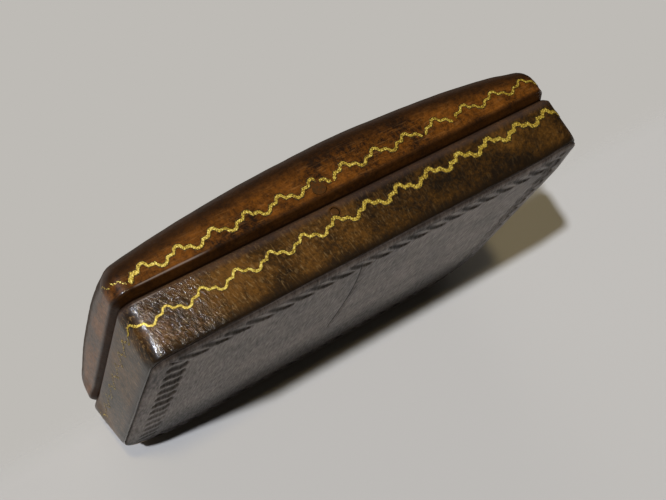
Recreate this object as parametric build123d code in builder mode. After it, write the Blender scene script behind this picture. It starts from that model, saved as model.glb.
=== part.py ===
# A small snuff box: wooden boards covered in leather, with a domed lid on a brass hinge and a push button catch.
# Millimetres. +Z is up, X runs along the length and -Y is the front with the button.
# The origin is the middle of the underside.
import os
from math import asin, cos, degrees, radians, sin, sqrt

from build123d import *

os.makedirs("parts", exist_ok=True)

# The outside
length = 90.0
width = 61.0
front_corner_radius = 3.2
back_corner_radius = 12.0
base_height = 11.2  # from the underside to the closing line
lid_height = 12.8  # from the closing line to the top of the dome
length_crown = 4.0  # how much lower the dome is at the two ends
width_crown = 2.2  # how much lower it is at the front and the back
lid_edge_radius = 3.0
base_bevel = 0.8  # the lower side of the groove round the closing line
lid_bevel = 1.3  # its upper side
closing_gap = 0.1  # between the two rims

# The leather
leather = 0.9
panel_leather = 0.9  # the sheet on the underside
panel_edge_radius = 0.6
joint_radius = 0.2  # where the side leather meets the panel

# The boards
base_wall = 4.0
floor_board = 2.0
lid_board = 2.2
lid_wall_height = 4.0  # of the lid's walls, above the closing line
lining = 0.2

# The strips that guide the lid
neck_thickness = 0.8
neck_height = 1.8  # above the closing line
neck_clearance = 0.25  # between a strip and the lid's wall
neck_chamfer = 0.25

# The hinge
hinge_length = 50.0
knuckle_count = 5
knuckle_gap = 0.15
barrel_radius = 0.85
barrel_clearance = 0.15  # between a knuckle and what it turns past
hinge_pin_radius = 0.4
hinge_pin_clearance = 0.05  # in the lid's knuckles, which turn on the pin
leaf_thickness = 0.5
leaf_fit = 0.05  # at each end of a leaf's recess
nail_count = 4
nail_spacing = 13.0
nail_radius = 0.35
nail_length = 2.6
nail_head_radius = 0.65
nail_head_thickness = 0.25

# The catch
catch_x = -6.0
catch_travel = 0.6
catch_clearance = 0.1
button_drop = 2.0  # of its middle, below the closing line
button_radius = 0.8
button_clearance = 0.08  # round its head and its stem
button_head = 0.8
button_dome = 0.2
stem_radius = 0.5
bush_wall = 0.25
bush_floor = 0.3
pocket_wall = 1.4  # the wood left in front of the catch's pocket
pocket_sill = 0.3  # between the floor board and the catch's pocket
plate_thickness = 0.4
plate_width = 5.0
plate_foot_gap = 0.4  # above the pocket's floor
pocket_side_clearance = 0.3
hook_height = 0.5
hook_gap = 0.2  # between the hook's underside and the keeper's lip
hook_reach = 0.3
spring_span = 3.2
spring_strip = 0.15
spring_width = 3.6
spring_fit = 0.02
keeper_thickness = 0.4
keeper_width = 5.0
keeper_lip = 0.4
keeper_rise = 1.5  # of the lip's underside, above the closing line
keeper_height = 2.3
rivet_rise = 3.1  # of the keeper's rivet, above the closing line
rivet_head_radius = 1.35
rivet_head = 0.5
rivet_shank_radius = 0.45
rivet_tail_radius = 0.75
rivet_tail = 0.2

# Levels and lines that follow from these
base_rim = base_height - closing_gap / 2
lid_rim = base_height + closing_gap / 2
floor_top = panel_leather + floor_board
board_line = base_height + lid_wall_height
lid_wall = base_wall - neck_clearance
front = -width / 2
back = width / 2
base_inset = leather + base_wall
lid_inset = leather + lid_wall
neck_inset = base_inset + neck_thickness
corner_x = length / 2 - back_corner_radius
corner_y = back - back_corner_radius
hinge_y = back - barrel_radius
hinge_z = base_height
knuckle_pitch = hinge_length / knuckle_count
knuckle_places = [(k + 0.5) * knuckle_pitch - hinge_length / 2 for k in range(knuckle_count)]
base_knuckles = knuckle_places[0::2]
lid_knuckles = knuckle_places[1::2]
bush_radius = button_radius + button_clearance + bush_wall
bush_depth = button_head + catch_travel + catch_clearance + bush_floor
pocket_front = front + leather + pocket_wall
lip_edge = pocket_front + keeper_thickness + keeper_lip
hook_tip = lip_edge + catch_clearance
plate_front = hook_tip + hook_reach
plate_back = plate_front + plate_thickness
lip_bottom = base_height + keeper_rise
button_height = base_height - button_drop
pocket_floor = floor_top + pocket_sill
plate_foot = pocket_floor + plate_foot_gap
spring_middle = (plate_foot + button_height - stem_radius) / 2
hook_bottom = lip_bottom + keeper_thickness + hook_gap
rivet_height = base_height + rivet_rise


def bevel(outer, inset):
    """The groove's bevel on a form that lies inset inside the leather's outside."""
    return outer + inset * (sqrt(2) - 1)


def plan(inset):
    """The box's outline from above, drawn in by inset, with its rounded corners concentric."""
    with BuildSketch() as outline:
        Rectangle(length - 2 * inset, width - 2 * inset)
        for radius, row in ((front_corner_radius, 0), (back_corner_radius, -1)):
            if radius > inset:
                fillet(outline.vertices().group_by(Axis.Y)[row], radius - inset)
    return outline.sketch


def slab(x, y, z):
    """A block from the first to the second of each pair."""
    with BuildPart() as block:
        with BuildSketch(Plane.XY.offset(z[0])):
            with Locations(((x[0] + x[1]) / 2, (y[0] + y[1]) / 2)):
                Rectangle(x[1] - x[0], y[1] - y[0])
        extrude(amount=z[1] - z[0])
    return block.part


def rod(radius, x, z, y):
    """A round bar along Y, from the first to the second of y."""
    with BuildPart() as bar:
        with BuildSketch(Plane.XZ.offset(-y[0])):
            with Locations((x, z)):
                Circle(radius)
        extrude(amount=y[0] - y[1])
    return bar.part


def under_dome(drop):
    """The space under the lid's doubly curved top, with that top lowered by drop."""
    along = (length**2 / 4 + length_crown**2) / (2 * length_crown)
    across = (width**2 / 4 + width_crown**2) / (2 * width_crown)
    top = base_height + lid_height - drop
    turn = asin(0.6 * length / along)
    reach = 0.6 * width
    shoulder = along - across + sqrt(across**2 - reach**2)
    foot = along - top
    section = Plane(origin=(0, 0, top - along), x_dir=(0, 1, 0), z_dir=(cos(turn), 0, sin(turn)))
    with BuildPart() as space:
        with BuildSketch(section):
            with BuildLine():
                ThreePointArc((-reach, shoulder), (0, along), (reach, shoulder))
                Polyline((reach, shoulder), (reach, foot), (-reach, foot), (-reach, shoulder))
            make_face()
        revolve(axis=Axis((0, 0, top - along), (0, 1, 0)), revolution_arc=2 * degrees(turn))
    return space.part


def base_form(inset):
    """The base from its panel to its rim, with the rim's bevel."""
    outline = plan(inset)
    with BuildPart() as form:
        with BuildSketch(Plane.XY.offset(panel_leather)):
            add(outline)
        extrude(amount=base_rim - panel_leather)
        chamfer(form.faces().sort_by(Axis.Z)[-1].edges(), bevel(base_bevel, inset))
    return form.part


def lid_space(inset, drop):
    """The space inside an outline, from the lid's rim to the lowered dome."""
    outline = plan(inset)
    dome = under_dome(drop)
    with BuildPart() as space:
        with BuildSketch(Plane.XY.offset(lid_rim)):
            add(outline)
        extrude(amount=lid_height)
        add(dome, mode=Mode.INTERSECT)
    return space.part


def lid_form(inset):
    """The lid's outside drawn in by inset, with its rounded edge and the rim's bevel."""
    space = lid_space(inset, inset)
    with BuildPart() as form:
        add(space)
        fillet(form.faces().sort_by(Axis.Z)[-1].edges(), lid_edge_radius - inset)
        chamfer(form.faces().sort_by(Axis.Z)[0].edges(), bevel(lid_bevel, inset))
    return form.part


def barrels(places, radius, run):
    """Round bars on the hinge's axis, one at each place."""
    with BuildPart() as row:
        for x in places:
            with BuildSketch(Plane.YZ.offset(x - run / 2)):
                with Locations((hinge_y, hinge_z)):
                    Circle(radius)
            extrude(amount=run)
    return row.part


def nail_row(y, face, way):
    """The nails of one leaf, from the leaf's face down (way -1) or up (way 1)."""
    with BuildPart() as nails:
        for k in range(nail_count):
            x = (k - (nail_count - 1) / 2) * nail_spacing
            with BuildSketch(Plane.XY.offset(face)):
                with Locations((x, y)):
                    Circle(nail_head_radius)
            extrude(amount=way * nail_head_thickness)
            with BuildSketch(Plane.XY.offset(face)):
                with Locations((x, y)):
                    Circle(nail_radius)
            extrude(amount=way * nail_length)
    return nails.part


def leaf(own, other, edge, z, bore, nails):
    """One hinge leaf with its knuckles, cut clear of the other leaf's, bored for the pin."""
    plate = slab((-hinge_length / 2, hinge_length / 2), (edge, hinge_y), z)
    room = barrels(other, barrel_radius + barrel_clearance, knuckle_pitch + knuckle_gap)
    knuckles = barrels(own, barrel_radius, knuckle_pitch - knuckle_gap)
    hole = barrels([0], bore, hinge_length)
    with BuildPart() as made:
        add(plate)
        add(room, mode=Mode.SUBTRACT)
        add(knuckles)
        add(hole, mode=Mode.SUBTRACT)
        add(nails, mode=Mode.SUBTRACT)
    return made.part


# Forms that several pieces are cut from
base_outside = base_form(0)
base_core = base_form(leather)
lid_outside = lid_form(0)
lid_core = lid_form(leather)
lid_hollow = lid_space(lid_inset, leather + lid_board)
outer_plan = plan(0)
core_plan = plan(leather)
base_inner_plan = plan(base_inset)
neck_inner_plan = plan(neck_inset)

# What the hinge takes out of both halves
base_leaf_z = (base_rim - leaf_thickness, base_rim)
lid_leaf_z = (lid_rim, lid_rim + leaf_thickness)
base_leaf_edge = back - base_inset
lid_leaf_edge = back - lid_inset
recess_x = (-hinge_length / 2 - leaf_fit, hinge_length / 2 + leaf_fit)
base_leaf_recess = slab(recess_x, (base_leaf_edge, hinge_y), base_leaf_z)
lid_leaf_recess = slab(recess_x, (lid_leaf_edge, hinge_y), lid_leaf_z)
barrel_groove = barrels([0], barrel_radius + barrel_clearance, hinge_length + 2 * leaf_fit)
nail_line = hinge_y - barrel_radius - barrel_clearance
base_nail_solids = nail_row((nail_line + base_leaf_edge) / 2, base_rim, -1)
lid_nail_solids = nail_row((nail_line + lid_leaf_edge) / 2, lid_rim, 1)

# What the catch takes out of the front
pocket_half = plate_width / 2 + pocket_side_clearance
pocket_x = (catch_x - pocket_half, catch_x + pocket_half)
base_pocket = slab(pocket_x, (pocket_front, front + base_inset), (pocket_floor, base_rim))
lid_pocket = slab(pocket_x, (pocket_front, front + lid_inset), (lid_rim, board_line))
bush_hole = rod(bush_radius, catch_x, button_height, (front, front + bush_depth))
stem_hole = rod(stem_radius + button_clearance, catch_x, button_height, (front, plate_front))
rivet_head_hole = rod(rivet_head_radius, catch_x, rivet_height, (front, front + rivet_head))
rivet_hole = rod(rivet_shank_radius, catch_x, rivet_height, (front, lip_edge))

# The leather

with BuildPart() as base_bottom_leather:
    with BuildSketch():
        add(outer_plan)
    extrude(amount=panel_leather)
    fillet(base_bottom_leather.faces().sort_by(Axis.Z)[0].edges(), panel_edge_radius)
    fillet(base_bottom_leather.faces().sort_by(Axis.Z)[-1].edges(), joint_radius)

with BuildPart() as base_side_leather:
    add(base_outside)
    fillet(base_side_leather.faces().sort_by(Axis.Z)[0].edges(), joint_radius)
    add(base_core, mode=Mode.SUBTRACT)
    add(base_leaf_recess, mode=Mode.SUBTRACT)
    add(barrel_groove, mode=Mode.SUBTRACT)
    add(bush_hole, mode=Mode.SUBTRACT)

with BuildPart() as lid_leather:
    add(lid_outside)
    add(lid_core, mode=Mode.SUBTRACT)
    add(lid_leaf_recess, mode=Mode.SUBTRACT)
    add(barrel_groove, mode=Mode.SUBTRACT)
    add(rivet_head_hole, mode=Mode.SUBTRACT)
    add(rivet_hole, mode=Mode.SUBTRACT)

# The base's boards

with BuildPart() as base_floor_board:
    with BuildSketch(Plane.XY.offset(panel_leather)):
        add(core_plan)
    extrude(amount=floor_board)

with BuildPart() as base_ring:
    add(base_core)
    with BuildSketch(Plane.XY.offset(panel_leather)):
        add(core_plan)
    extrude(amount=floor_board, mode=Mode.SUBTRACT)
    with BuildSketch(Plane.XY.offset(floor_top)):
        add(base_inner_plan)
    extrude(amount=base_height, mode=Mode.SUBTRACT)

base_z = (floor_top, base_height)
base_front_region = slab((-length, length), (front, front + base_inset), base_z)
base_left_region = slab((-length, 0), (front + base_inset, corner_y), base_z)
base_right_region = slab((0, length), (front + base_inset, corner_y), base_z)
base_back_region = slab((-corner_x, corner_x), (corner_y, back), base_z)

with BuildPart() as base_front_wall:
    add(base_ring.part)
    add(base_front_region, mode=Mode.INTERSECT)
    add(base_pocket, mode=Mode.SUBTRACT)
    add(bush_hole, mode=Mode.SUBTRACT)
    add(stem_hole, mode=Mode.SUBTRACT)

with BuildPart() as base_left_wall:
    add(base_ring.part)
    add(base_left_region, mode=Mode.INTERSECT)

with BuildPart() as base_right_wall:
    add(base_ring.part)
    add(base_right_region, mode=Mode.INTERSECT)

with BuildPart() as base_back_wall:
    add(base_ring.part)
    add(base_back_region, mode=Mode.INTERSECT)
    add(base_leaf_recess, mode=Mode.SUBTRACT)
    add(barrel_groove, mode=Mode.SUBTRACT)
    add(base_nail_solids, mode=Mode.SUBTRACT)

# The two rounded corners at the back are blocks of their own
with BuildPart() as base_corner_blocks:
    add(base_ring.part)
    add(base_front_region, mode=Mode.SUBTRACT)
    add(base_left_region, mode=Mode.SUBTRACT)
    add(base_right_region, mode=Mode.SUBTRACT)
    add(base_back_region, mode=Mode.SUBTRACT)

# The strips inside the base. Those at the front and the sides rise into the lid

with BuildPart() as neck_ring:
    with BuildSketch(Plane.XY.offset(floor_top)):
        add(base_inner_plan)
        add(neck_inner_plan, mode=Mode.SUBTRACT)
    extrude(amount=base_height + neck_height - floor_top)

neck_z = (floor_top, base_height + neck_height)
neck_front_region = slab((-length, length), (front, front + neck_inset), neck_z)
neck_left_region = slab((-length, 0), (front + neck_inset, corner_y), neck_z)
neck_right_region = slab((0, length), (front + neck_inset, corner_y), neck_z)
liner_region = slab((-corner_x, corner_x), (corner_y, back), (floor_top, base_rim))

with BuildPart() as neck_front:
    add(neck_ring.part)
    add(neck_front_region, mode=Mode.INTERSECT)
    chamfer(neck_front.edges().group_by(Axis.Z)[-1].filter_by(Axis.X), neck_chamfer)

with BuildPart() as neck_left:
    add(neck_ring.part)
    add(neck_left_region, mode=Mode.INTERSECT)
    chamfer(neck_left.edges().group_by(Axis.Z)[-1].filter_by(Axis.Y), neck_chamfer)

with BuildPart() as neck_right:
    add(neck_ring.part)
    add(neck_right_region, mode=Mode.INTERSECT)
    chamfer(neck_right.edges().group_by(Axis.Z)[-1].filter_by(Axis.Y), neck_chamfer)

with BuildPart() as back_liner:
    add(neck_ring.part)
    add(liner_region, mode=Mode.INTERSECT)

with BuildPart() as base_floor_lining:
    with BuildSketch(Plane.XY.offset(floor_top)):
        add(neck_inner_plan)
    extrude(amount=lining)

# The lid's boards

with BuildPart() as lid_shell:
    add(lid_core)
    add(lid_hollow, mode=Mode.SUBTRACT)

lid_z = (lid_rim, board_line)
lid_front_region = slab((-length, length), (front, front + lid_inset), lid_z)
lid_left_region = slab((-length, 0), (front + lid_inset, corner_y), lid_z)
lid_right_region = slab((0, length), (front + lid_inset, corner_y), lid_z)
lid_back_region = slab((-corner_x, corner_x), (corner_y, back), lid_z)
lid_walls_region = slab((-length, length), (front, back), lid_z)

with BuildPart() as lid_top_board:
    add(lid_shell.part)
    add(lid_walls_region, mode=Mode.SUBTRACT)

with BuildPart() as lid_front_wall:
    add(lid_shell.part)
    add(lid_front_region, mode=Mode.INTERSECT)
    add(lid_pocket, mode=Mode.SUBTRACT)
    add(rivet_hole, mode=Mode.SUBTRACT)

with BuildPart() as lid_left_wall:
    add(lid_shell.part)
    add(lid_left_region, mode=Mode.INTERSECT)

with BuildPart() as lid_right_wall:
    add(lid_shell.part)
    add(lid_right_region, mode=Mode.INTERSECT)

with BuildPart() as lid_back_wall:
    add(lid_shell.part)
    add(lid_back_region, mode=Mode.INTERSECT)
    add(lid_leaf_recess, mode=Mode.SUBTRACT)
    add(barrel_groove, mode=Mode.SUBTRACT)
    add(lid_nail_solids, mode=Mode.SUBTRACT)

with BuildPart() as lid_corner_blocks:
    add(lid_shell.part)
    add(lid_walls_region, mode=Mode.INTERSECT)
    add(lid_front_region, mode=Mode.SUBTRACT)
    add(lid_left_region, mode=Mode.SUBTRACT)
    add(lid_right_region, mode=Mode.SUBTRACT)
    add(lid_back_region, mode=Mode.SUBTRACT)

lining_below = lid_space(lid_inset, leather + lid_board + lining)

with BuildPart() as lid_lining:
    add(lid_hollow)
    add(lining_below, mode=Mode.SUBTRACT)

# The hinge

base_leaf_solid = leaf(
    base_knuckles, lid_knuckles, base_leaf_edge, base_leaf_z, hinge_pin_radius, base_nail_solids
)
lid_leaf_solid = leaf(
    lid_knuckles,
    base_knuckles,
    lid_leaf_edge,
    lid_leaf_z,
    hinge_pin_radius + hinge_pin_clearance,
    lid_nail_solids,
)
pin_solid = barrels([0], hinge_pin_radius, hinge_length)

with BuildPart() as base_hinge_leaf:
    add(base_leaf_solid)

with BuildPart() as lid_hinge_leaf:
    add(lid_leaf_solid)

with BuildPart() as hinge_pin:
    add(pin_solid)

with BuildPart() as base_hinge_nails:
    add(base_nail_solids)

with BuildPart() as lid_hinge_nails:
    add(lid_nail_solids)

# The catch in the base

with BuildPart() as push_button:
    with BuildSketch(Plane.XZ.offset(-front)):
        with Locations((catch_x, button_height)):
            Circle(button_radius)
    extrude(amount=-button_head)
    fillet(push_button.faces().sort_by(Axis.Y)[0].edges(), button_dome)
    with BuildSketch(Plane.XZ.offset(-front - button_head)):
        with Locations((catch_x, button_height)):
            Circle(stem_radius)
    extrude(amount=front + button_head - plate_back)

bore_end = front + bush_depth - bush_floor
bush_bore = rod(button_radius + button_clearance, catch_x, button_height, (front, bore_end))

with BuildPart() as button_bush:
    add(bush_hole)
    add(bush_bore, mode=Mode.SUBTRACT)
    add(stem_hole, mode=Mode.SUBTRACT)

stem_seat = rod(stem_radius, catch_x, button_height, (front, plate_back))

with BuildPart() as catch_plate:
    with BuildSketch(Plane.YZ.offset(catch_x - plate_width / 2)):
        with BuildLine():
            Polyline(
                (plate_front, plate_foot),
                (plate_back, plate_foot),
                (plate_back, hook_bottom + hook_height),
                (hook_tip, hook_bottom + hook_height),
                (hook_tip, hook_bottom),
                (plate_front, hook_bottom),
                close=True,
            )
        make_face()
    extrude(amount=plate_width)
    add(stem_seat, mode=Mode.SUBTRACT)

# A bowed strip between the plate and the front strip
spring_back = front + base_inset - spring_fit
spring_top = plate_back + spring_fit
spring_rise = spring_back - spring_top
spring_radius = (spring_span**2 / 4 + spring_rise**2) / (2 * spring_rise)

with BuildPart() as catch_spring:
    with BuildSketch(Plane.YZ.offset(catch_x - spring_width / 2)):
        with Locations((spring_top + spring_radius, spring_middle)):
            Circle(spring_radius)
            Circle(spring_radius - spring_strip, mode=Mode.SUBTRACT)
        with Locations((spring_top + spring_rise / 2, spring_middle)):
            Rectangle(spring_rise, 2 * spring_span, mode=Mode.INTERSECT)
    extrude(amount=spring_width)

# The catch in the lid

keeper_x = (catch_x - keeper_width / 2, catch_x + keeper_width / 2)
keeper_back = pocket_front + keeper_thickness
lip_solid = slab(keeper_x, (keeper_back, lip_edge), (lip_bottom, lip_bottom + keeper_thickness))
keeper_solid = slab(keeper_x, (pocket_front, keeper_back), (lip_bottom, lip_bottom + keeper_height))

with BuildPart() as keeper_plate:
    add(keeper_solid)
    add(lip_solid)
    add(rivet_hole, mode=Mode.SUBTRACT)

shank_solid = rod(rivet_shank_radius, catch_x, rivet_height, (front, keeper_back))
tail_solid = rod(rivet_tail_radius, catch_x, rivet_height, (keeper_back, keeper_back + rivet_tail))

with BuildPart() as keeper_rivet:
    add(rivet_head_hole)
    add(shank_solid)
    add(tail_solid)

pieces = {
    "base_bottom_leather": base_bottom_leather,
    "base_side_leather": base_side_leather,
    "base_floor_board": base_floor_board,
    "base_front_wall": base_front_wall,
    "base_back_wall": base_back_wall,
    "base_left_wall": base_left_wall,
    "base_right_wall": base_right_wall,
    "base_corner_blocks": base_corner_blocks,
    "neck_front": neck_front,
    "neck_left": neck_left,
    "neck_right": neck_right,
    "back_liner": back_liner,
    "base_floor_lining": base_floor_lining,
    "base_hinge_leaf": base_hinge_leaf,
    "base_hinge_nails": base_hinge_nails,
    "hinge_pin": hinge_pin,
    "button_bush": button_bush,
    "catch_spring": catch_spring,
    "push_button": push_button,
    "catch_plate": catch_plate,
    "lid_leather": lid_leather,
    "lid_top_board": lid_top_board,
    "lid_front_wall": lid_front_wall,
    "lid_back_wall": lid_back_wall,
    "lid_left_wall": lid_left_wall,
    "lid_right_wall": lid_right_wall,
    "lid_corner_blocks": lid_corner_blocks,
    "lid_lining": lid_lining,
    "lid_hinge_leaf": lid_hinge_leaf,
    "lid_hinge_nails": lid_hinge_nails,
    "keeper_plate": keeper_plate,
    "keeper_rivet": keeper_rivet,
}

for name, piece in pieces.items():
    piece.part.label = name
    export_step(piece.part, f"parts/{name}.step")
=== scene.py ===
from functools import partial
from math import cos, pi, sin, sqrt

import bpy
import numpy as np
from bpy.props import FloatProperty, FloatVectorProperty, PointerProperty
from mathutils import Matrix, Vector, noise


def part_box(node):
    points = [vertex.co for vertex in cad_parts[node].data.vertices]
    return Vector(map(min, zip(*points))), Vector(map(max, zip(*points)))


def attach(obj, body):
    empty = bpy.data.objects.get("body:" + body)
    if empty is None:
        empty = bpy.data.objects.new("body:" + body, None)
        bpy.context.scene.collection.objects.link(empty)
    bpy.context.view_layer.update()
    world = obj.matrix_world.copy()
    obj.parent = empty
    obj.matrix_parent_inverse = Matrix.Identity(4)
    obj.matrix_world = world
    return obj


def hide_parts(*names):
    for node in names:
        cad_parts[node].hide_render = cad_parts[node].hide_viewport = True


bl_info = {
    "name": "Leather Snuff Box",
    "version": (1, 0, 0),
    "blender": (4, 5, 0),
    "location": "View3D > Sidebar > Snuff Box",
    "description": "Covers, tooling and finishes of a small leather snuff box",
    "category": "Add Mesh",
}

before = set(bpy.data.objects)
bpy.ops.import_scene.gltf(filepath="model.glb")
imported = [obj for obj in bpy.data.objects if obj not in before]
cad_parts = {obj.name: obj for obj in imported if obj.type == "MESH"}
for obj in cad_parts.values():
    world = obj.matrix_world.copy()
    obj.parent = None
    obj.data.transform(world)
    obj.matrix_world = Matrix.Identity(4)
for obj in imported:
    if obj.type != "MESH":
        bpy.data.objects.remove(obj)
MM = 0.001

# Sizes and places that the model gives
PANEL_LOW, PANEL_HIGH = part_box("base_bottom_leather")
BASE_LOW, BASE_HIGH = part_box("base_side_leather")
LID_LOW, LID_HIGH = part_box("lid_leather")
BUSH_LOW, BUSH_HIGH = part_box("button_bush")
RIVET_LOW, RIVET_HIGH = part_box("keeper_rivet")
LEAF_LOW, LEAF_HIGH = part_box("base_hinge_leaf")
LID_LEAF_LOW, LID_LEAF_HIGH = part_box("lid_hinge_leaf")
PIN_LOW, PIN_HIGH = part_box("hinge_pin")
HALF_LENGTH = LID_HIGH.x
HALF_WIDTH = LID_HIGH.y
CLOSING = (BASE_HIGH.z + LID_LOW.z) / 2
BARREL_RADIUS = LEAF_HIGH.z - (PIN_LOW.z + PIN_HIGH.z) / 2

# The covers: how much wider than the leather's thickness their turned-in rims are, and the room cut for other pieces
TURNED_IN = 0.35 * MM
LEAF_ROOM = 0.05 * MM
BARREL_ROOM = 0.15 * MM
HOLE_DEPTH = 4 * MM
# How near the closing line the rims stay true, and the height over which the leather becomes uneven beyond that
TRUE_RIM = 0.3 * MM
TRUE_FADE = 2.5 * MM
# How far inside the outline the outer leather ends, and how soon the turned-in rim starts, in millimetres
OUTER_LEATHER = 0.9
OUTER_FADE = 1.1
# The painted highlight along a rim's edge: its width, how bright it is, and how it starts and ends, in millimetres
RIM_HIGHLIGHT_WIDTH = 0.09 * MM
RIM_HIGHLIGHT_SHARE = 0.6
RIM_HIGHLIGHT_START, RIM_HIGHLIGHT_END = 1.5, 4

# The underside: the height of its flat part, and how far up the soil of its joint takes to become full
FLAT_HEIGHT = 0.1 * MM
JOINT_RISE = 0.35 * MM
# Where its painted shade towards the back edge starts, and how far that takes to become full
BACK_SHADE_START = 7 * MM
BACK_SHADE_RISE = 15 * MM
# Its crack: where the bent line starts and how far it runs, and where the mark ends at the back and at the front
CRACK_START = 8 * MM
CRACK_RUN = 33.5 * MM
CRACK_BACK, CRACK_BACK_FADE = 12 * MM, 6 * MM
CRACK_FRONT, CRACK_FRONT_FADE = 28 * MM, 2 * MM
# Its rope border: how far in front of the middle it starts to be worn, and how far that takes to become full
ROPE_WEAR_START = 6 * MM
ROPE_WEAR_RUN = 14 * MM
# A strand's half width and soft edge, and where across it it is deepest and darkest, as shares of the pitch
STRAND_HALF, STRAND_EDGE = 0.47, 0.12
# Its darkest place holds dirt and painted shade, on the side of the strand away from the light
STRAND_DEEPEST, STRAND_DARKEST = 0.4, 0.24

# The gold lines: how far round from the front's middle their crests drift in pitch, and their shift beyond that
FRONT_REACH = 44 * MM
START_BEYOND = 0.3
# How ragged their edges are: the length of a tear, and its share of the width. Steep parts are widened up to a limit
TEAR = 0.35 * MM
TEAR_SHARE = 0.22
STEEPEST = 1.75

# How close the finishes' patterns lie: 1 over a patch's size, or over its sizes along X, Y and Z. The panel's grain is
# turned by an angle in radians
PATCHES = 1 / (7 * MM)
MOTTLES = 1 / (0.7 * MM)
GRAIN = 1 / (0.3 * MM)
CRACKLE = (1 / (0.7 * MM), 1 / (0.7 * MM), 1 / (1.5 * MM))
PANEL_GRAIN = (1 / (0.45 * MM), 1 / (2.6 * MM), 1 / MM)
PANEL_TURN = 0.9
BLOTCHES = 1 / (9 * MM)
SPECKS = 1 / (0.28 * MM)
STAINS = 1 / (14 * MM)
PAPER_FIBRES = 1 / (0.4 * MM)
# The wood's rings: their width, and how many times as long as wide their grain is
RING = 1.1 * MM
GRAIN_RUN = 14
# Along the box: where the leather is worn more and more, and its scratches with a painted sheen grow stronger; where
# the wax starts to be crackled beside the left corner; and where it is thin on the left end
WEAR_RUN = (16 * MM, -34 * MM)
WAX_CORNER = (-43.6 * MM, -41.6 * MM)
WAX_END = (-44.9 * MM, -44.2 * MM)


def linear(code):
    """The linear red, green and blue of an sRGB hex colour."""
    parts = [int(code[i : i + 2], 16) / 255 for i in (1, 3, 5)]
    return tuple(p / 12.92 if p <= 0.04045 else ((p + 0.055) / 1.055) ** 2.4 for p in parts)


def length(name, text, default):
    """A property that holds a length in metres."""
    return FloatProperty(name=name, description=text, default=default, subtype="DISTANCE", unit="LENGTH", precision=5)


def colour(name, text, code):
    """A property that holds a colour."""
    return FloatVectorProperty(name=name, description=text, default=linear(code), subtype="COLOR", min=0, max=1)


def strength(name, text, default):
    """A property that holds the strength of a light."""
    return FloatProperty(name=name, description=text, default=default, min=0)


class CoverSizes(bpy.types.PropertyGroup):
    """The leather covers"""

    front_corner: length("Front corner", "Radius of the two front corners", 3.2 * MM)
    back_corner: length("Back corner", "Radius of the two back corners", 12 * MM)
    lid_edge: length("Lid edge", "Radius of the lid's upper edge", 3.0 * MM)
    base_bevel: length("Base bevel", "Lower side of the groove round the closing line", 0.8 * MM)
    lid_bevel: length("Lid bevel", "Upper side of the groove", 1.3 * MM)
    length_crown: length("Length crown", "How much lower the lid is at its ends", 4.0 * MM)
    width_crown: length("Width crown", "How much lower it is at its front and back", 2.2 * MM)
    crown_foot: length("Crown foot", "Height where the lid's sides start to follow its crown", 12.8 * MM)
    lean: length("Lean", "How much higher than true the lid's right end is, and how much lower its left", 0.45 * MM)
    thickness: length("Thickness", "Of the leather", 0.88 * MM)
    edge_turn: length("Edge turn", "Rounding of the groove's edges", 0.2 * MM)
    panel_edge: length("Panel edge", "Rounding of the panel's lower edge", 0.5 * MM)
    joint_edge: length("Joint edge", "Rounding where the panel meets the sides", 0.36 * MM)
    foot_roll: length("Foot roll", "How far the sides curve in at their foot", 0.5 * MM)
    foot_height: length("Foot height", "How high up the sides start to curve in", 3.5 * MM)
    cell: length("Cell", "Mesh width of the covers", 0.75 * MM)
    side_cell: length("Side cell", "Mesh height of the covers' sides", 0.5 * MM)
    panel_cell: length("Panel cell", "Mesh width of the tooled panel", 0.29 * MM)
    panel_edge_fall: length("Panel edge fall", "How much the panel is rubbed down at its edge", 0.4 * MM)
    panel_edge_inset: length("Panel edge inset", "How far in its edge is rubbed back", 0.2 * MM)
    panel_edge_reach: length("Panel edge reach", "How far in from its edge it is rubbed", 3.6 * MM)
    broad_wave: length("Broad wave", "Distance between the broad uneven places", 13 * MM)
    broad_depth: length("Broad depth", "Depth of the broad uneven places", 0.16 * MM)
    small_wave: length("Small wave", "Distance between the small dents", 3.2 * MM)
    small_depth: length("Small depth", "Depth of the small dents", 0.05 * MM)


class ToolingSizes(bpy.types.PropertyGroup):
    """The gold lines and the rope border"""

    wave_height: length("Wave height", "From a gold line's middle to its crests", 0.95 * MM)
    gold_step: length("Gold step", "Distance between a gold line's cross sections", 0.11 * MM)
    gold_stand: length("Gold stand", "How far the gold stands out of the leather", 0.02 * MM)
    gold_leaf: length("Gold leaf", "Thickness of a gold line", 0.06 * MM)
    rope_left: length("Rope left", "Middle of the rope border at the left", -39.85 * MM)
    rope_right: length("Rope right", "Middle of the rope border at the right", 39.4 * MM)
    rope_front: length("Rope front", "Middle of the rope border at the front", -26.9 * MM)
    rope_back: length("Rope back", "Middle of the rope border at the back", 26.4 * MM)
    rope_width: length("Rope width", "Half the width of the rope border", 2.15 * MM)
    rope_pitch: length("Rope pitch", "Distance between two strands", 4.0 * MM)
    strand_reach: length("Strand reach", "Half of how far a strand runs along the border", 2.45 * MM)
    strand_depth: length("Strand depth", "Depth of a strand's mark", 0.3 * MM)
    crack_width: length("Crack width", "Width of the crack in the panel", 0.4 * MM)
    crack_depth: length("Crack depth", "Depth of the crack in the panel", 0.22 * MM)


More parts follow.
